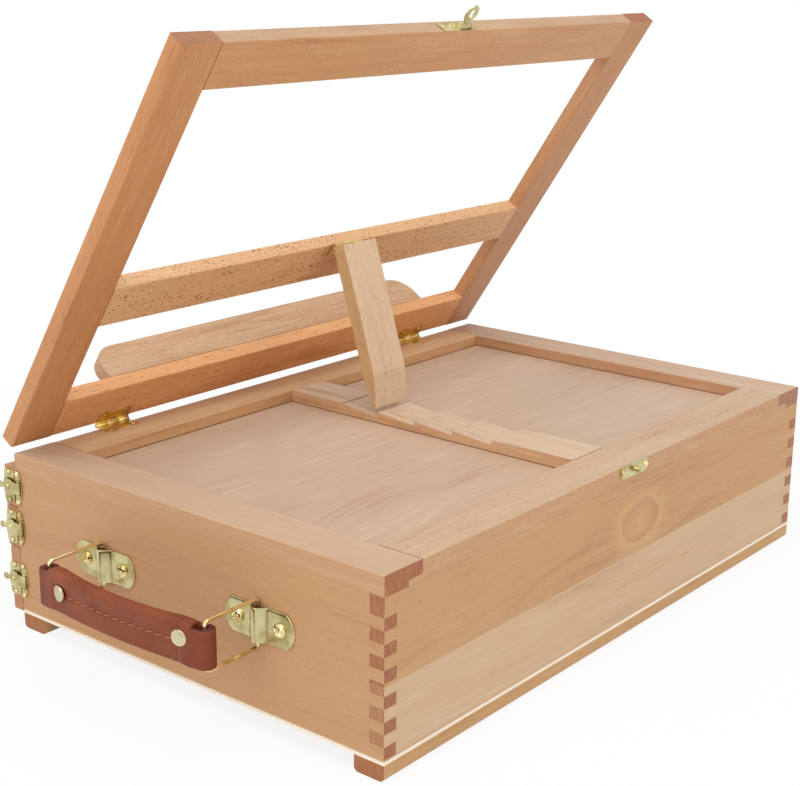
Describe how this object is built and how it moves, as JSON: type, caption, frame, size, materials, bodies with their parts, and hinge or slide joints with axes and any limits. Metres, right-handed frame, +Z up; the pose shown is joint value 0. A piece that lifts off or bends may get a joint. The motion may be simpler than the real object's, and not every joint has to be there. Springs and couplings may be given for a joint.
{
  "type": "box easel",
  "caption": "Wooden table easel box with stacked drawers, a hinged easel frame held by a prop on a notched rail, brass latches and a carrying handle.",
  "frame": {"origin": "middle of the case's footprint, on the surface that the runners stand on", "axes": "+X along the long side away from the handle end, +Y towards the drawer side, +Z up"},
  "size_m": [0.5043, 0.314, 0.3726],
  "materials": {
    "beech": "plain sanded beech with a thin clear coat",
    "plywood": "sanded plywood",
    "brass": "brass-plated pressed steel and wire",
    "leather": "reddish-brown leather with one stitched seam"
  },
  "bodies": {
    "case": {"back_wall_upper_board": "beech", "back_wall_lower_board": "beech", "handle_end_wall": "beech", "plain_end_wall": "beech", "bottom_panel": "plywood", "back_runner": "beech", "front_runner": "beech", "top_end_rail_handle_side": "beech", "top_end_rail_plain_side": "beech", "top_back_rail": "beech", "top_front_rail": "beech", "top_panel": "plywood", "notched_rail": "beech", "drawer_guides": "beech", "case_hinge_leaves": "brass", "case_hinge_pins": "brass", "hasp_keeper": "brass", "latch_bases": "brass", "case_screws": "brass", "handle_brackets": "brass", "handle_bracket_screws": "brass"},
    "easel": {"easel_stile_handle_side": "beech", "easel_stile_plain_side": "beech", "easel_bottom_rail": "beech", "easel_middle_rail": "beech", "easel_top_rail": "beech", "canvas_ledge": "beech", "easel_hinge_leaves": "brass", "prop_hinge_rail_leaf": "brass", "prop_hinge_pin": "brass", "hasp_base": "brass", "easel_screws": "brass"},
    "prop": {"prop_leg": "beech", "prop_hinge_leg_leaf": "brass", "prop_leg_screws": "brass"},
    "catch_flap": {"hasp_flap": "brass"},
    "bail_front": {"handle_bail_front": "brass"},
    "bail_back": {"handle_bail_back": "brass"},
    "grip": {"handle_grip": "leather", "grip_rivets": "brass"},
    "drawer_1": {"drawer_1_front": "beech", "drawer_1_sides": "beech", "drawer_1_bottom": "plywood", "drawer_1_catch": "brass"},
    "latch_1": {"latch_1_flap": "brass"},
    "drawer_2": {"drawer_2_front": "beech", "drawer_2_sides": "beech", "drawer_2_bottom": "plywood", "drawer_2_catch": "brass"},
    "latch_2": {"latch_2_flap": "brass"},
    "drawer_3": {"drawer_3_front": "beech", "drawer_3_sides": "beech", "drawer_3_bottom": "plywood", "drawer_3_catch": "brass"},
    "latch_3": {"latch_3_flap": "brass"}
  },
  "joints": [
    {"name": "easel_hinge", "type": "hinge", "parent": "case", "child": "easel", "pos_m": [0, 0.147, 0.1139], "axis": [1, 0, 0], "range_deg": [-20, 56.5]},
    {"name": "prop_hinge", "type": "hinge", "parent": "easel", "child": "prop", "pos_m": [0, 0.07839, 0.21755], "axis": [1, 0, 0], "range_deg": [-131.1, 46.47]},
    {"name": "catch_flap_hinge", "type": "hinge", "parent": "easel", "child": "catch_flap", "pos_m": [0.005, -0.01196, 0.36041], "axis": [1, 0, 0], "range_deg": [-70, 87]},
    {"name": "drawer_1_slide", "type": "slide", "parent": "case", "child": "drawer_1", "axis": [0, 1, 0], "range_m": [0, 0.2]},
    {"name": "latch_1_hinge", "type": "hinge", "parent": "case", "child": "latch_1", "pos_m": [-0.2262, 0.1412, 0.091], "axis": [0, 0, 1], "range_deg": [0, 140]},
    {"name": "drawer_2_slide", "type": "slide", "parent": "case", "child": "drawer_2", "axis": [0, 1, 0], "range_m": [0, 0.2]},
    {"name": "latch_2_hinge", "type": "hinge", "parent": "case", "child": "latch_2", "pos_m": [-0.2262, 0.1412, 0.065], "axis": [0, 0, 1], "range_deg": [0, 140]},
    {"name": "drawer_3_slide", "type": "slide", "parent": "case", "child": "drawer_3", "axis": [0, 1, 0], "range_m": [0, 0.2]},
    {"name": "latch_3_hinge", "type": "hinge", "parent": "case", "child": "latch_3", "pos_m": [-0.2262, 0.1412, 0.031], "axis": [0, 0, 1], "range_deg": [0, 140]},
    {"name": "bail_front_hinge", "type": "hinge", "parent": "case", "child": "bail_front", "pos_m": [-0.2267, 0.0644, 0.0632], "axis": [0, 0, 1], "range_deg": [-75, 75]},
    {"name": "bail_back_hinge", "type": "hinge", "parent": "case", "child": "bail_back", "pos_m": [-0.2267, -0.0596, 0.0632], "axis": [0, 0, 1], "range_deg": [-75, 75]},
    {"name": "grip_hinge", "type": "hinge", "parent": "bail_front", "child": "grip", "pos_m": [-0.2645, 0.0644, 0.0632], "axis": [0, 0, 1], "range_deg": [-75, 75]}
  ],
  "couplings": [
    {"joint": "prop_hinge", "follows": "easel_hinge", "ratio": -2.3186},
    {"joint": "bail_back_hinge", "follows": "bail_front_hinge", "ratio": 1},
    {"joint": "grip_hinge", "follows": "bail_front_hinge", "ratio": -1}
  ]
}
